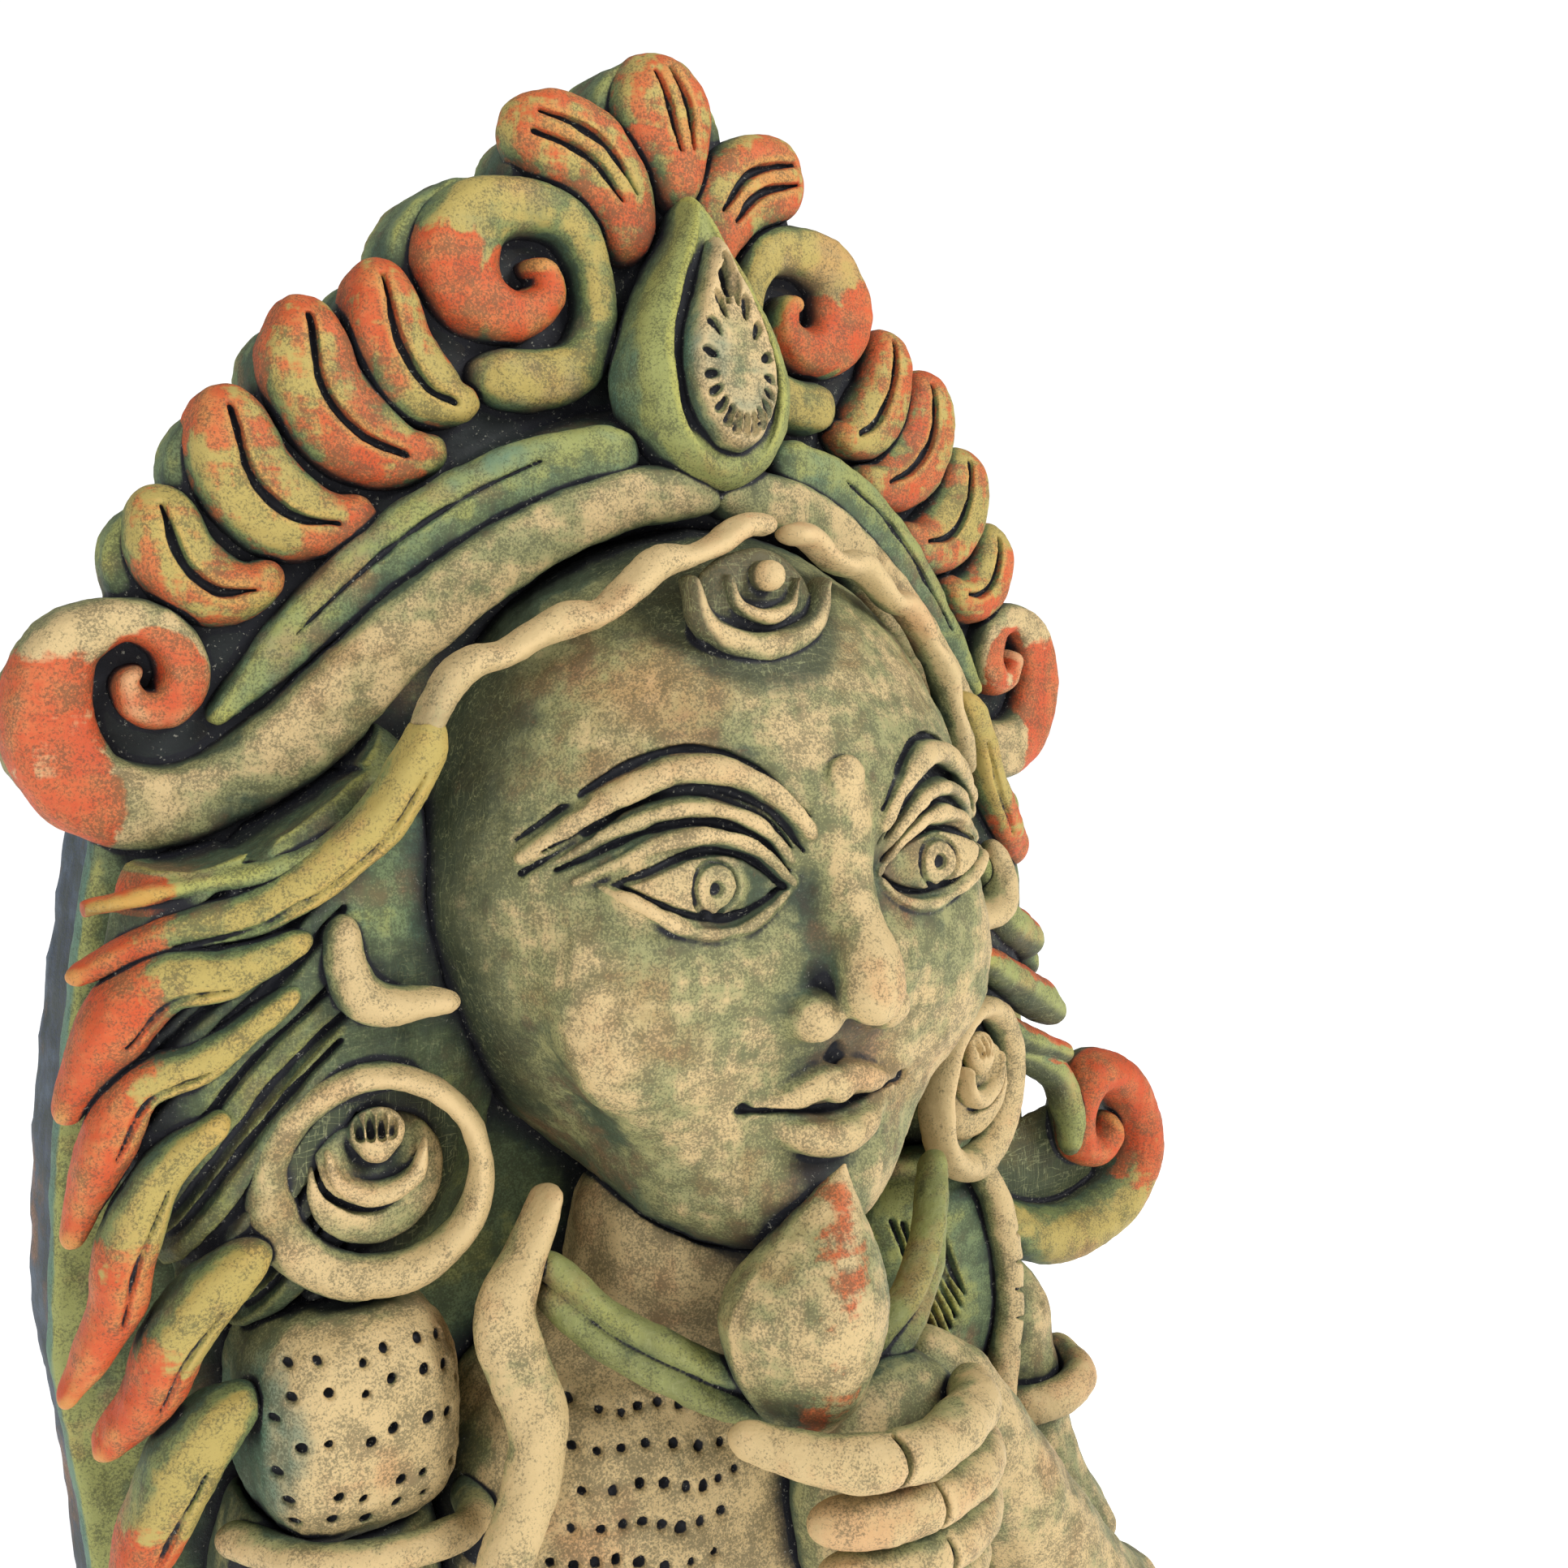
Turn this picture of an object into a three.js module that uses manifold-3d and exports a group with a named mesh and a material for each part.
// Terracotta bust of a crowned goddess in high relief, slab-built and hollow, free-standing on a flat base.
// Millimetres. X runs to the viewer's right, Y to the back, Z up. The origin is on the underside of the
// base, on the plane that the crown mirrors about. RIGHT is the figure's own right hand side, at negative X.
// Each mesh is one piece of clay as it is rolled, pressed or cut before the pieces are luted together.
import * as THREE from 'three';
import { mergeVertices } from 'three/addons/utils/BufferGeometryUtils.js';
import Module from 'manifold-3d';

const wasm = await Module();
wasm.setup();

// ---- driving dimensions ----
const CROWN_HALF = 115; // from the mirror plane to the outer turn of an end volute
const CROWN_SWEEP = 12; // how far the slab's front falls back at CROWN_HALF
const CROWN_SET_BACK = 4; // where the slab's front is on the mirror plane
const RELIEF = 7.5; // how far the crown's bands, leaves and scrolls stand out from the slab
const SLAB_BACK = 22; // back face of the relief slab
const BOX_BACK = 50; // back edge of the hollow box behind it
const WALL = 10; // wall of the hollow box
const BASE_HEIGHT = 12;
const JOINT = 0.35; // slip joint left between two pieces that touch
const TRIM = 0.12; // slivers left by trimming are cleaned up to this size
const RIGHT = -1;
const LEFT = 1;
const FRONT = new THREE.Vector3(0, -1, 0);

// ---- paint colours ----
const paint = (color) => new THREE.MeshStandardMaterial({ color, roughness: 0.8, metalness: 0 });
const GREEN = paint(0x8b9468);
const OCHRE = paint(0xbfa672);
const ORANGE = paint(0xc96a42);
const SLATE = paint(0x66786c);

// ---- from three.js geometry to solid and back ----
function solidOf(geometry) {
  const bare = geometry.clone();
  for (const name of Object.keys(bare.attributes)) if (name !== 'position') bare.deleteAttribute(name);
  const merged = mergeVertices(bare, 1e-4);
  const mesh = new wasm.Mesh({
    numProp: 3,
    vertProperties: merged.attributes.position.array,
    triVerts: new Uint32Array(merged.index.array),
  });
  return new wasm.Manifold(mesh);
}

function geometryOf(solid) {
  const mesh = solid.getMesh();
  return new THREE.BufferGeometry()
    .setAttribute('position', new THREE.BufferAttribute(mesh.vertProperties, 3))
    .setIndex(new THREE.BufferAttribute(mesh.triVerts, 1));
}

// Moves every vertex of a geometry by a function of its place.
function warp(geometry, move) {
  const p = geometry.attributes.position;
  const v = new THREE.Vector3();
  for (let i = 0; i < p.count; i++) {
    v.fromBufferAttribute(p, i);
    const to = move(v);
    p.setXYZ(i, to.x, to.y, to.z);
  }
  return geometry;
}

// A value read at u (0 to 1) from a list with one value for each point of a curve.
function along(values, u) {
  if (!Array.isArray(values)) return values;
  const at = u * (values.length - 1);
  const i = Math.min(Math.floor(at), values.length - 2);
  return THREE.MathUtils.lerp(values[i], values[i + 1], at - i);
}

const widthsOf = (stations) => stations.map((station) => station[3]);
const squared = (v, power) => Math.sign(v) * Math.abs(v) ** power;
const mirrored = (side, points) => points.map(([x, ...rest]) => [side === RIGHT ? x : -x, ...rest]);
const bothSides = (half) => [...half.slice(1).reverse(), ...mirrored(LEFT, half)];

// ---- clay shapes: each takes grow, which swells it by that much to make room round it ----

// A hand-rolled coil laid along stations of [x, y, z, half width], flattened and round at both ends.
function coil(stations, halfDepth, { steps = 10, sides = 8, facing = FRONT, round = 0.8 } = {}) {
  const points = stations.map(([x, y, z]) => new THREE.Vector3(x, y, z));
  const widths = widthsOf(stations);
  const curve = new THREE.CatmullRomCurve3(points, false, 'centripetal');
  const length = curve.getLength();
  return (grow = 0) => {
    const rounding = Math.min(0.3, Math.max(along(widths, 0.1), 1) / length);
    const tube = new THREE.CylinderGeometry(1, 1, 1, sides, steps);
    warp(tube, (v) => {
      const t = THREE.MathUtils.clamp(v.y + 0.5, 0, 1);
      const u = curve.getUtoTmapping(t);
      const end = Math.min(t, 1 - t) / rounding;
      const shrink = end < 1 ? 0.45 + 0.55 * Math.sqrt(1 - (1 - end) ** 2) : 1;
      const tangent = curve.getTangentAt(t);
      const front = facing.clone().addScaledVector(tangent, -facing.dot(tangent)).normalize();
      const across = tangent.clone().cross(front);
      return curve.getPointAt(t)
        .addScaledVector(across, squared(v.x, round) * (along(widths, u) * shrink + grow))
        .addScaledVector(front, squared(v.z, round) * (along(halfDepth, u) * shrink + grow))
        .addScaledVector(tangent, t === 0 ? -grow : t === 1 ? grow : 0);
    });
    return solidOf(tube);
  };
}

// A rounded mass of clay: a ball stretched to three half sizes and then shaped by an optional function.
function mass(centre, half, { columns = 20, rows = 14, shape = (v) => v } = {}) {
  return (grow = 0) => {
    const ball = new THREE.SphereGeometry(1, columns, rows);
    warp(ball, (v) => {
      const s = shape(new THREE.Vector3(v.x, -v.z, v.y)); // the ball's poles end up at top and bottom
      return new THREE.Vector3(
        centre[0] + s.x * (half[0] + grow),
        centre[1] + s.y * (half[1] + grow),
        centre[2] + s.z * (half[2] + grow),
      );
    });
    return solidOf(ball);
  };
}

// A plate cut to an outline in the XZ plane and reaching from yFront to yBack.
function plate(outline, yFront, yBack) {
  return (grow = 0) => {
    const shape = new THREE.Shape(outline.map(([x, z]) => new THREE.Vector2(x, z)));
    const depth = yBack - yFront + 2 * grow;
    const slab = new THREE.ExtrudeGeometry(shape, { depth, bevelEnabled: false });
    // the extrusion's depth runs to the front, which keeps its faces pointing out
    return solidOf(warp(slab, (v) => new THREE.Vector3(v.x, yBack + grow - v.z, v.y)));
  };
}

const ellipse = (cx, cz, rx, rz, n) => Array.from({ length: n }, (_, i) => {
  const a = (i / n) * 2 * Math.PI;
  return [cx + rx * Math.cos(a), cz + rz * Math.sin(a)];
});

const sum = (solids) => solids.reduce((a, b) => a.add(b));
const allOf = (makes) => (grow = 0) => sum(makes.map((make) => make(grow)));

// Front face of the slab at x.
const slabFront = (x) => CROWN_SET_BACK + CROWN_SWEEP * (x / CROWN_HALF) ** 2;
// Stations of [x, z, half width] put on the slab's front: a coil along them stands out by its half depth.
const onSlab = (stations) => stations.map(([x, z, width]) => [x, slabFront(x), z, width]);

// ---- the relief slab, cut to the outline of crown and hair ----
// The bed is the wedge that carries the crown's bands from the slab out to the brow.
const BED = [
  [0, 2, 287, 13], [-22, 3, 284, 12], [-44, 6, 274, 10], [-64, 9, 257, 8], [-80, 12, 240, 5],
];
const diademBed = coil(bothSides(BED), [3, 6, 9, 12, 14, 12, 9, 6, 3], { steps: 20 });

const HEAD = { x: 2, y: -2, z: 211, half: [61, 46, 66] };
const CAVITY = { half: [36, 34, 48] };

const LOBES = [ // circles that scallop the crown's edge: x, z, radius, on the right side
  [0, 351, 15], [-20, 339, 12], [-35, 319, 20], [-53, 309, 11], [-66, 300, 12],
  [-80, 284, 12], [-91, 269, 11], [-100, 243, 19],
];
const CROWN_FIELD = [[0, 346], [-35, 322], [-66, 298], [-95, 262], [-100, 230]];
const BODY_EDGE = [
  [-104, 228], [-109, 200], [-113, 170], [-115, 135], [-111, 105], [-108, 60], [-106, BASE_HEIGHT + JOINT],
];

function reliefSlab(grow = 0) {
  const half = [...CROWN_FIELD, ...BODY_EDGE];
  const outline = [...half, ...half.slice(1).reverse().map(([x, z]) => [-x, z])];
  const front = -30;
  const back = SLAB_BACK + 20;
  const lobes = LOBES.flatMap(([x, z, r]) => (x === 0 ? [[x, z, r]] : [[x, z, r], [-x, z, r]]));
  const silhouette = sum([
    plate(outline, front, back)(),
    ...lobes.map(([x, z, r]) => plate(ellipse(x, z, r + grow, r + grow, 16), front, back)()),
  ]);
  // the slab's thickness in plan: flat at the back, swept at the front
  const plan = new THREE.Shape();
  const reach = 130;
  const bays = 12;
  plan.moveTo(-reach, -(SLAB_BACK + grow));
  for (let i = 0; i <= bays; i++) {
    const x = -reach + (2 * reach * i) / bays;
    plan.lineTo(x, -(slabFront(x) - grow));
  }
  plan.lineTo(reach, -(SLAB_BACK + grow));
  const tall = 400;
  const thickness = new THREE.ExtrudeGeometry(plan, { depth: tall, bevelEnabled: false });
  warp(thickness, (v) => new THREE.Vector3(v.x, -v.y, tall - v.z)); // half a turn about X
  const slab = silhouette.intersect(solidOf(thickness)).add(diademBed(grow));
  if (grow) return slab;
  return slab.subtract(plate(ellipse(HEAD.x, HEAD.z, CAVITY.half[0], CAVITY.half[2], 20), front, back)());
}

// ---- the hollow box behind it ----
function sideWall(side) {
  const inset = 3; // the wall stands this far inside the slab's edge
  const outer = BODY_EDGE.map(([x, z]) => [x + inset, z]);
  const inner = outer.map(([x, z]) => [x + WALL, z]).reverse();
  const line = mirrored(side, [...outer, ...inner]);
  return plate(side === RIGHT ? line : line.reverse(), SLAB_BACK + JOINT, BOX_BACK);
}

const BASE_PLAN = [ // seen from above: x, y
  [-108, 50], [-112, 10], [-104, -18], [-70, -40], [-20, -50], [40, -52], [90, -44], [124, -26],
  [136, -6], [134, 14], [116, 50],
];
function baseSlab() {
  const shape = new THREE.Shape(BASE_PLAN.map(([x, y]) => new THREE.Vector2(x, y)));
  return solidOf(new THREE.ExtrudeGeometry(shape, { depth: BASE_HEIGHT, bevelEnabled: false }));
}
// The room kept round the base is a plain block, so that nothing reaches below its top.
const UNDER = [[-140, -1], [140, -1], [140, BASE_HEIGHT + JOINT], [-140, BASE_HEIGHT + JOINT]];
const baseRoom = () => plate(UNDER, -60, 60)();

// ---- head ----
// The skull narrows to the jaw and is flattened a little in front.
const skullShape = (v) => {
  const narrow = v.z < 0 ? 1 - 0.34 * (-v.z) ** 1.7 : 1 - 0.06 * v.z;
  const flat = v.y < 0 ? 1 + 0.10 * (1 - v.x * v.x) * (1 - v.z * v.z) : 1;
  return new THREE.Vector3(v.x * narrow, v.y * flat, v.z);
};
const skull = mass([HEAD.x, HEAD.y, HEAD.z], HEAD.half, { columns: 22, rows: 16, shape: skullShape });
const jaw = mass([HEAD.x + 1, -23, 166], [32, 24, 24], { columns: 16, rows: 10 });
const NOSE = [[2, -42, 228, 4], [2, -51, 212, 5], [2, -59, 197, 7], [2, -50, 190, 5]]; // brow to lip
const nose = coil(NOSE, [4, 5, 6, 4], { steps: 6 });
const lips = coil([[-12, -44, 175, 2], [2, -50, 174, 4.5], [16, -44, 175, 2]], [2, 4, 2], { steps: 6 });
const eyelid = (side) => mass([HEAD.x + side * 24, -37, 216], [18, 8, 7.5], { columns: 12, rows: 8 });

function head(grow = 0) {
  const face = allOf([skull, jaw, nose, lips, eyelid(RIGHT), eyelid(LEFT)])(grow);
  if (grow) return face;
  const hollow = mass([HEAD.x, HEAD.y, HEAD.z], CAVITY.half, { columns: 16, rows: 10 })();
  const opening = plate(ellipse(HEAD.x, HEAD.z, CAVITY.half[0], CAVITY.half[2], 20), HEAD.y, 60)();
  return face.subtract(hollow).subtract(opening);
}

// ---- body ----
const boxy = (power) => (v) => new THREE.Vector3(...v.toArray().map((c) => squared(c, power)));
const chest = mass([-4, -4, 70], [58, 40, 68], { columns: 20, rows: 12, shape: boxy(0.8) });
const neck = mass([0, -14, 140], [33, 22, 34], { columns: 14, rows: 8 });
const rightArm = mass([-76, -2, 62], [21, 20, 62], { columns: 16, rows: 10, shape: boxy(0.75) });
const rightSleeve = mass([-73, -4, 125], [18, 21, 20], { columns: 16, rows: 10, shape: boxy(0.65) });
const HEM = [[-94, -6, 105, 6], [-86, -21, 105, 6], [-73, -26, 104, 6], [-59, -24, 103, 6],
  [-53, -12, 103, 6]];
const leftSleeve = mass([63, -2, 108], [24, 14, 34], { columns: 16, rows: 10, shape: boxy(0.8) });
const SLEEVE_BORDER = [[70, -13, 141, 3], [75, -15, 127, 3.8], [78, -15, 108, 4], [75, -17, 94, 3.8],
  [67, -24, 82, 2.6]];
const LEFT_UPPER_ARM = [[85, -1, 112, 13], [88, -3, 84, 13], [94, -6, 56, 14], [106, -10, 30, 17]];
const ARMLET = [[77, -12, 82, 4.2], [82, -19, 82, 4.4], [91, -21, 83, 4.4], [100, -17, 84, 4.4],
  [104, -5, 85, 4.2]];
const FOREARM = [[106, -30, 28, 17], [84, -36, 42, 15], [62, -38, 70, 14], [43, -38, 99, 12],
  [32, -36, 119, 9]];
const forearm = coil(FOREARM, [15, 15, 13, 11, 9], { steps: 9, sides: 10, round: 1 });
const palm = mass([14, -46, 100], [20, 12, 24], { columns: 14, rows: 8, shape: boxy(0.8) });

// ---- hair ----
const MOUND = { // a low mound on either side of the head, which the locks lie on
  [RIGHT]: mass([-74, 2, 190], [36, 17, 56], { columns: 14, rows: 9 }),
  [LEFT]: mass([72, 4, 190], [24, 14, 54], { columns: 14, rows: 9 }),
};
const RIGHT_LOCKS = { // stations x, y, z, half width, from the face outwards
  main_lock: [[-63, -22, 238, 3.6], [-69, -17, 227, 4], [-78, -14, 219, 4], [-88, -10, 213, 3.8],
    [-100, -6, 210, 3], [-113, 0, 204, 1.6]],
  flame_lock_1: [[-80, -13, 208.5, 2], [-93, -11, 204, 4.2], [-101, -7, 203, 5], [-108, -4, 196, 5.4],
    [-115, 0, 182, 2]],
  flame_lock_2: [[-82, -13, 200, 1.8], [-96, -10, 190.5, 3.2], [-105, -7, 187, 3.8], [-110, -5, 178, 4.2],
    [-115, 0, 162, 1.4]],
  flame_lock_3: [[-94, -12, 181, 1.8], [-103, -9, 173, 3.6], [-108, -7, 162, 4.6], [-110, -5, 151, 4],
    [-117, 0, 136, 1.4]],
  flame_lock_4: [[-89, -12, 158, 3.2], [-96, -10, 152.5, 4.6], [-102, -8, 145, 5.2], [-105, -5, 136, 4.4],
    [-112, 0, 126, 1.8]],
  flame_lock_5: [[-91, -10, 133, 3.4], [-99, -8, 127, 5.6], [-104, -6, 117, 5.6], [-108, -3, 105, 4],
    [-111, 0, 92, 1.6]],
};
const LEFT_LOCKS = [ // the strands of the left side, the first of them the main one
  [[62, -15, 243, 3], [69, -12, 235, 3.4], [74, -10, 225, 3.8], [82, -6, 214, 4.6], [91, -1, 206, 3.8]],
    [[84, 2, 224, 2.4], [95, 4, 215, 3]], [[68, -13, 208, 2.6], [76, -9, 198, 3.8], [86, -5, 190, 4.6],
    [98, 0, 184, 4.4]], [[92, 2, 184, 3.4], [102, 4, 177, 3.8]], [[70, -12, 186, 3], [85, -7, 178, 4],
    [99, -2, 170.5, 4.4], [108, 1, 165, 3]], [[84, -6, 168, 2.4], [92, -4, 163, 3], [111, 0, 155, 2.4]],
    [[88, -3, 160, 2.4], [98, -1, 156.5, 3.2], [109, 0, 149, 3.4], [113.5, 0, 139, 3.2], [114, 0, 130, 2]],
];
const lock = (stations) => coil(stations, widthsOf(stations).map((width) => 1.2 + width), { round: 0.9 });
const leftHair = allOf([MOUND[LEFT], ...LEFT_LOCKS.slice(1).map(lock)]);

const HAIRLINES = {
  [RIGHT]: [[-3, -34, 276, 2.4], [-17, -34, 272, 3], [-29, -32, 265.5, 3.4], [-41, -28, 258, 3.2],
    [-54, -25, 253.5, 3.4], [-62, -22, 244, 3.2]],
  [LEFT]: [[1, -35, 274.5, 2.4], [16, -31, 270.5, 3], [32, -27, 264, 3.2], [46, -23, 254, 3.2],
    [55, -19, 242, 3.2], [62, -16, 228, 2.8]],
};
const hairline = (side) => coil(HAIRLINES[side], 4, { steps: 16 });
const EAR = [[-74, -12, 210, 3.4], [-74, -14, 202, 4.4], [-70, -17, 197, 4.4], [-58, -21, 196.5, 2]];
const ear = (side) => coil(mirrored(side, EAR), [4, 5.5, 5, 3], { steps: 8 });
const CHEST_LOCK = [[-43, -25, 162, 2.4], [-49, -27, 152, 4.4], [-54, -29, 144, 6], [-53, -31, 136, 6.4],
  [-51.5, -35, 127, 6], [-54.5, -38, 117, 5.4], [-60, -39, 106, 5], [-62, -40, 92, 4.2],
  [-63, -39, 78, 3.6], [-67, -36, 64, 2]];
const CHEST_LOCK_DEPTH = [4, 5, 5.5, 5.5, 5.5, 5.5, 5, 4.6, 4, 2.5];

// ---- crown ----
const BAND = [[-0.1, -12, 284, 4.5], [-20, -10, 280.5, 5], [-38, -6, 272, 5.5], [-57, -1, 257.5, 6],
  [-74, 4, 240, 6.5]];
const VOLUTE = [[-86, 231.5, 6.7], [-97, 228.5, 7.2], [-107, 232.5, 7.3], [-111.5, 243, 7.1],
  [-109, 254.5, 5.6], [-100.5, 259.4, 3.8], [-93.5, 257, 4], [-91.2, 250.5, 4.2], [-94, 245.5, 3.6],
  [-98.5, 245.6, 2.8], [-100.3, 249.5, 2], [-97.8, 251.6, 1.3]];
// One roll on each side: it runs from the middle of the brow and winds up into the volute at its end.
const diademRoll = (side) => coil(mirrored(side, [...BAND, ...onSlab(VOLUTE)]),
  [5.5, 5.5, 5.5, 6, 6.5, 7, ...VOLUTE.slice(1).map(() => RELIEF)], { steps: 40 });

const UPPER_BAND = [[-17, -10, 290, 4.2], [-34, -6, 285.5, 4.8], [-45, -3, 280, 5], [-55, 0, 273.5, 5],
  [-64, 3, 266, 4.6], [-75, 6, 255.5, 3.6], [-87, 9, 243, 1.2]];
const SCROLL = [[-39, 303, 5.2], [-29, 302.8, 5.6], [-20.5, 306, 5.2], [-16.8, 314, 4], [-17.5, 323, 3.8],
  [-22, 331, 4.6], [-31, 333.2, 5.2], [-40, 330, 6.6], [-43.2, 322, 7.8], [-39.5, 315.5, 6.2],
  [-32.5, 313.8, 4.6], [-27.2, 317, 3.6], [-27.2, 321.6, 2.6], [-30.3, 322.6, 1.6]];
const LEAVES = { // stations x, z, half width, from the crown's edge inwards, on the right side
  leaf_1: [[-57, 316, 4.6], [-55.5, 308, 5.6], [-51, 300.5, 5.6], [-45.5, 297.5, 3.4], [-41, 298.5, 1]],
  leaf_2: [[-69.5, 308, 5.2], [-68.5, 299, 6.6], [-62.5, 291.5, 6.6], [-54.5, 288, 4.4], [-47, 289.5, 1]],
  leaf_3: [[-82.5, 292.5, 5], [-80.5, 284, 6.6], [-74.5, 277.5, 6.4], [-66.5, 276, 4.2], [-60.5, 279, 1]],
  leaf_4: [[-93.5, 276.5, 4.6], [-91.5, 269.5, 5.4], [-86.5, 264.8, 5.2], [-80.5, 264.8, 3.4],
    [-76, 268, 1]],
  top_leaf: [[-27, 347, 6.5], [-18, 344, 7.2], [-11, 336.5, 5.8], [-9, 327, 1.5]],
};
const PEAK_LEAF = [[-3, 360, 6.5], [-1, 354.5, 8.2], [1, 347, 5.5], [1.5, 338, 1.4]];
const relief = (side, stations, steps) => coil(mirrored(side, onSlab(stations)), RELIEF, { steps });

// The brow jewel: a drop-shaped frame leaning forward at its foot, with a drop-shaped stone set in it.
const JEWEL = { y: -9, z: 303, lean: 12 };
const dropShape = (v) => { // the drop is narrow and long above its widest line, and round below it
  const up = Math.max(v.z, 0);
  return new THREE.Vector3(v.x * (1 - 0.85 * up ** 1.5), squared(v.y, 0.6), v.z + 0.7 * up);
};
const jewelPart = (half, rise) => (grow = 0) => mass([0, -rise, 0], half,
  { columns: 16, rows: 10, shape: dropShape })(grow)
  .rotate([-JEWEL.lean, 0, 0]).translate([0, JEWEL.y, JEWEL.z]);

// ---- brow ornament ----
const BROW = { x: -6, y: -37, z: 262 };
const crescent = (rise, rx, rz, halfWidth) => {
  const thick = [0.35, 0.85, 1, 0.85, 0.35];
  const stations = [-168, -130, -90, -50, -12].map((degrees, i) => {
    const a = THREE.MathUtils.degToRad(degrees);
    const x = BROW.x + rx * Math.cos(a);
    return [x, BROW.y + 2 * Math.abs(Math.cos(a)), BROW.z + rise + rz * Math.sin(a), halfWidth * thick[i]];
  });
  return coil(stations, 3, { steps: 8, sides: 6 });
};
const browOrnament = allOf([
  mass([BROW.x, BROW.y - 1, BROW.z + 4], [3.6, 4, 3.6], { columns: 8, rows: 6 }),
  mass([BROW.x, BROW.y + 1, BROW.z - 3], [8, 3, 8.5], { columns: 8, rows: 6 }), // the pad they share
  crescent(3, 7.4, 6.4, 1.7),
  crescent(2, 14, 11.5, 2.3),
]);

// ---- earrings: set square to a line turned outwards from the front; the left one hangs lower ----
const EARRING = { radius: 17.3, tube: 3.3, turn: THREE.MathUtils.degToRad(20) };
const EARRING_AT = { [RIGHT]: { x: -70, y: -15, z: 167 }, [LEFT]: { x: 67, y: -15, z: 158 } };
const outward = (side) => new THREE.Vector3(side * Math.sin(EARRING.turn), -Math.cos(EARRING.turn), 0);
// A point in the earring's own plane, out from its centre along the plane and up, raised by lift.
function earringPoint(side, out, up, lift = 0) {
  const { x, y, z } = EARRING_AT[side];
  const c = Math.cos(EARRING.turn);
  const s = Math.sin(EARRING.turn);
  return [x + side * (out * c + lift * s), y + out * s - lift * c, z + up];
}
function earringRing(side) {
  return (grow = 0) => {
    const ring = new THREE.TorusGeometry(EARRING.radius, 1, 8, 22);
    warp(ring, (v) => {
      const radius = Math.hypot(v.x, v.y);
      const wide = EARRING.radius + (radius - EARRING.radius) * (EARRING.tube + grow);
      return new THREE.Vector3(
        ...earringPoint(side, (side * v.x * wide) / radius, (v.y * wide) / radius, v.z * (4.2 + grow)),
      );
    });
    return solidOf(ring);
  };
}
function earringCrescent(side, radius, halfWidth, rise) {
  const thick = [0.4, 1, 1.15, 1, 0.4];
  const stations = [-170, -130, -90, -50, -10].map((degrees, i) => {
    const a = THREE.MathUtils.degToRad(degrees);
    const point = earringPoint(side, radius * Math.cos(a), rise + radius * Math.sin(a), 0.5);
    return [...point, halfWidth * thick[i]];
  });
  return coil(stations, 3.2, { steps: 10, facing: outward(side) });
}
const earringDrop = (side) => {
  const top = [...earringPoint(side, 0, 11, 0.5), 5];
  const foot = [...earringPoint(side, 0, -6, 0.5), 3.6];
  return coil([top, foot], 3.2, { steps: 5, facing: outward(side) });
};
const earringPendant = (side) => allOf([earringCrescent(side, 9, 2.8, 1), earringDrop(side)]);

// ---- hand, bud and collar ----
const bud = mass([-7, -52, 141], [17, 14, 24], {
  columns: 16,
  rows: 12,
  shape: (v) => { // the bud narrows to a tip that leans to the viewer's right
    const narrow = v.z > 0 ? 1 - 0.82 * v.z ** 1.5 : 1 - 0.25 * v.z * v.z;
    return new THREE.Vector3(v.x * narrow + 0.45 * Math.max(v.z, 0) ** 1.5, v.y * narrow, v.z);
  },
});
const FINGERS = { // stations from tip to knuckle
  index_finger: [[-25, -55, 124, 3.2], [-12, -66, 120, 4.6], [4, -69, 118, 4.8], [20, -64, 118, 4.8],
    [30, -54, 117, 4.6]],
  middle_finger: [[-13, -62, 107.5, 4], [-2, -66, 107, 4.8], [10, -67, 107, 4.8], [24, -62, 106, 4.8],
    [33, -53, 105, 4.4]],
  ring_finger: [[-10, -61, 96, 4], [2, -65, 95.5, 4.7], [14, -65, 95.5, 4.7], [26, -60, 95, 4.6],
    [34, -52, 94, 4.2]],
  little_finger: [[-5, -59, 85.5, 3.4], [6, -62, 85, 4], [16, -62, 85, 4.1], [27, -57, 85, 4],
    [34, -50, 84, 3.6]],
};
const COLLAR = [[0, -43, 118, 3], [-17, -44, 125, 3.2], [-27, -41, 131, 3.2], [-37, -34, 138, 3.2],
  [-45, -26, 147, 2.8]];

// ---- side scroll: a coil that leaves the hair below the left earring and curls up beside it ----
const SIDE_SCROLL = [[84, 6, 121, 6], [103, 6, 110.5, 7], [118.5, 6, 107.5, 7.5], [135, 6, 112.5, 7.5],
  [143, 6, 126, 7], [137, 5, 141, 6], [125, 4, 147, 4.6], [119, 4, 140, 3.6], [119.5, 4, 131, 3.6],
  [126, 4, 127, 3.4], [132, 4, 129, 2.6], [133, 4, 134.5, 1.6]];

// ---- assembly: pieces go on from the slab outwards, each one trimmed by what it is pressed against ----
const bust = new THREE.Group();
const onTheBench = [];

function lay(name, make, material, keepOut = make) {
  let solid = make(0);
  for (const other of onTheBench) {
    if (solid.intersect(other).volume() > 0) solid = solid.subtract(other);
  }
  solid = solid.decompose().reduce((a, b) => (b.volume() > a.volume() ? b : a));
  onTheBench.push(keepOut(JOINT));
  const mesh = new THREE.Mesh(geometryOf(solid.simplify(TRIM)), material);
  mesh.name = name;
  bust.add(mesh);
}
const layBoth = (name, make, material) => {
  lay(`right_${name}`, make(RIGHT), material);
  lay(`left_${name}`, make(LEFT), material);
};

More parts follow.
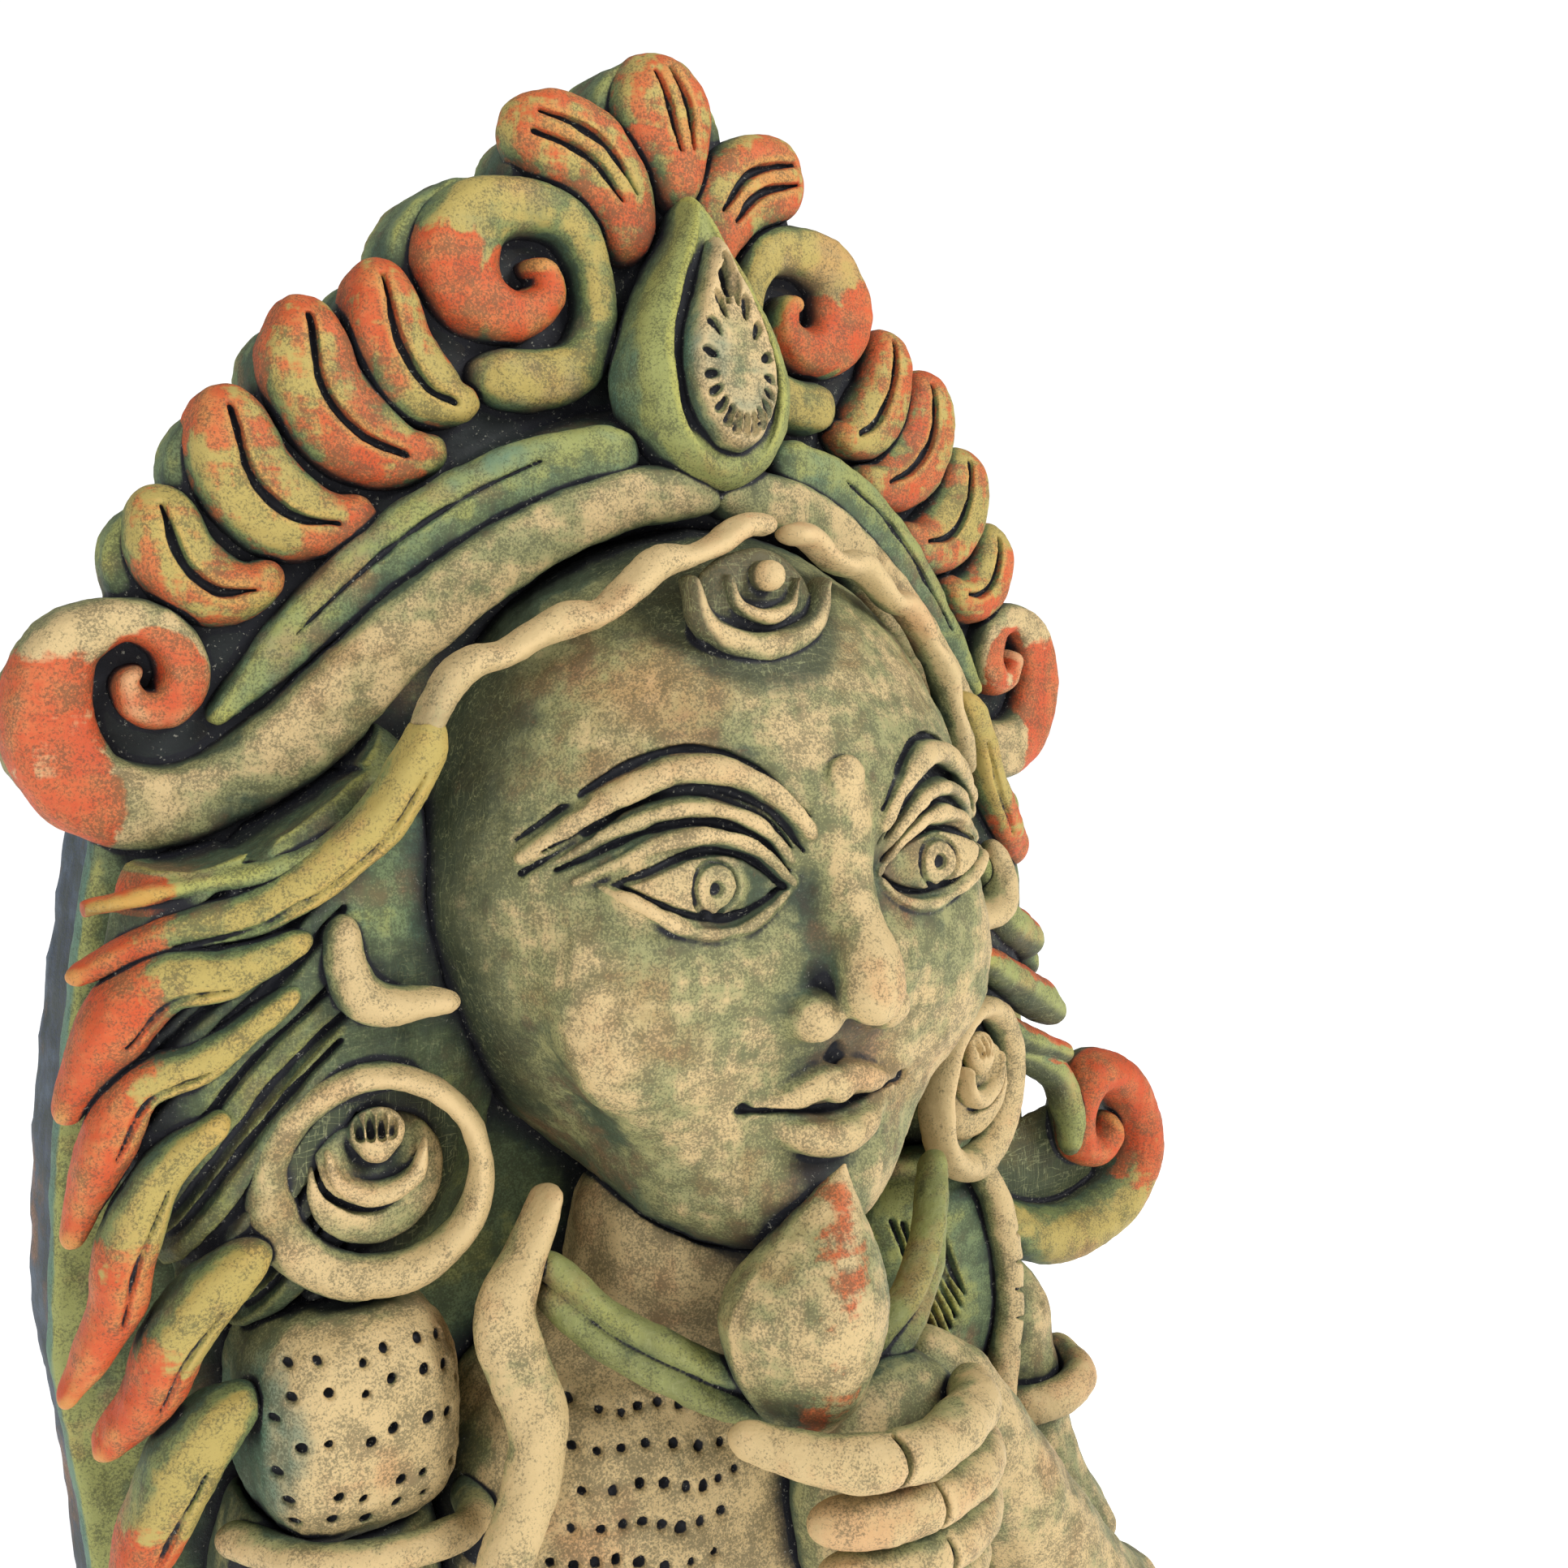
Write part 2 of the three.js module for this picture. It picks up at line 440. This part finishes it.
lay('base_slab', baseSlab, SLATE, baseRoom);
lay('relief_slab', reliefSlab, GREEN);
layBoth('side_wall', sideWall, SLATE);
lay('head', head, OCHRE);
lay('torso', allOf([chest, neck]), OCHRE);
lay('right_sleeve', rightSleeve, OCHRE);
lay('right_arm', rightArm, OCHRE);
lay('left_sleeve', leftSleeve, GREEN);
lay('left_upper_arm', coil(LEFT_UPPER_ARM, [15, 15, 17, 19], { steps: 8, sides: 10, round: 1 }), OCHRE);
lay('left_forearm', allOf([forearm, palm]), OCHRE);
layBoth('diadem_roll', diademRoll, OCHRE);
layBoth('upper_band', (side) => coil(mirrored(side, UPPER_BAND), 4.5, { steps: 14 }), GREEN);
layBoth('big_scroll', (side) => relief(side, SCROLL, 24), ORANGE);
for (const name of Object.keys(LEAVES)) layBoth(name, (side) => relief(side, LEAVES[name], 8), ORANGE);
lay('peak_leaf', relief(RIGHT, PEAK_LEAF, 6), ORANGE);
lay('jewel_stone', jewelPart([9.5, 8, 15], 8), OCHRE);
lay('jewel_frame', jewelPart([17.2, 12, 21], 0), GREEN);
lay('right_hair_mound', MOUND[RIGHT], GREEN);
lay('left_hair_mound', leftHair, GREEN);
layBoth('hairline', hairline, OCHRE);
lay('left_main_lock', lock(LEFT_LOCKS[0]), ORANGE);
for (const [name, stations] of Object.entries(RIGHT_LOCKS)) lay(`right_${name}`, lock(stations), ORANGE);
layBoth('ear', ear, OCHRE);
lay('brow_ornament', browOrnament, OCHRE);
layBoth('earring_ring', earringRing, OCHRE);
layBoth('earring_pendant', earringPendant, OCHRE);
lay('collar', coil(bothSides(COLLAR), 4, { steps: 18, sides: 6 }), GREEN);
lay('bud', bud, OCHRE);
for (const [name, stations] of Object.entries(FINGERS)) {
  lay(name, coil(stations, widthsOf(stations), { steps: 9, sides: 6, round: 1 }), OCHRE);
}
lay('chest_lock', coil(CHEST_LOCK, CHEST_LOCK_DEPTH, { steps: 20, sides: 6 }), OCHRE);
lay('sleeve_hem', coil(HEM, 3, { steps: 8, sides: 6 }), OCHRE);
lay('sleeve_border', coil(SLEEVE_BORDER, 4, { steps: 12, sides: 6 }), OCHRE);
lay('armlet', coil(ARMLET, 4, { steps: 10, sides: 6 }), OCHRE);
lay('side_scroll', coil(SIDE_SCROLL, [8, 10, 10, 10, 10, 9, 8, 7, 7, 6.5, 6, 5], { steps: 24 }), ORANGE);

export default bust;
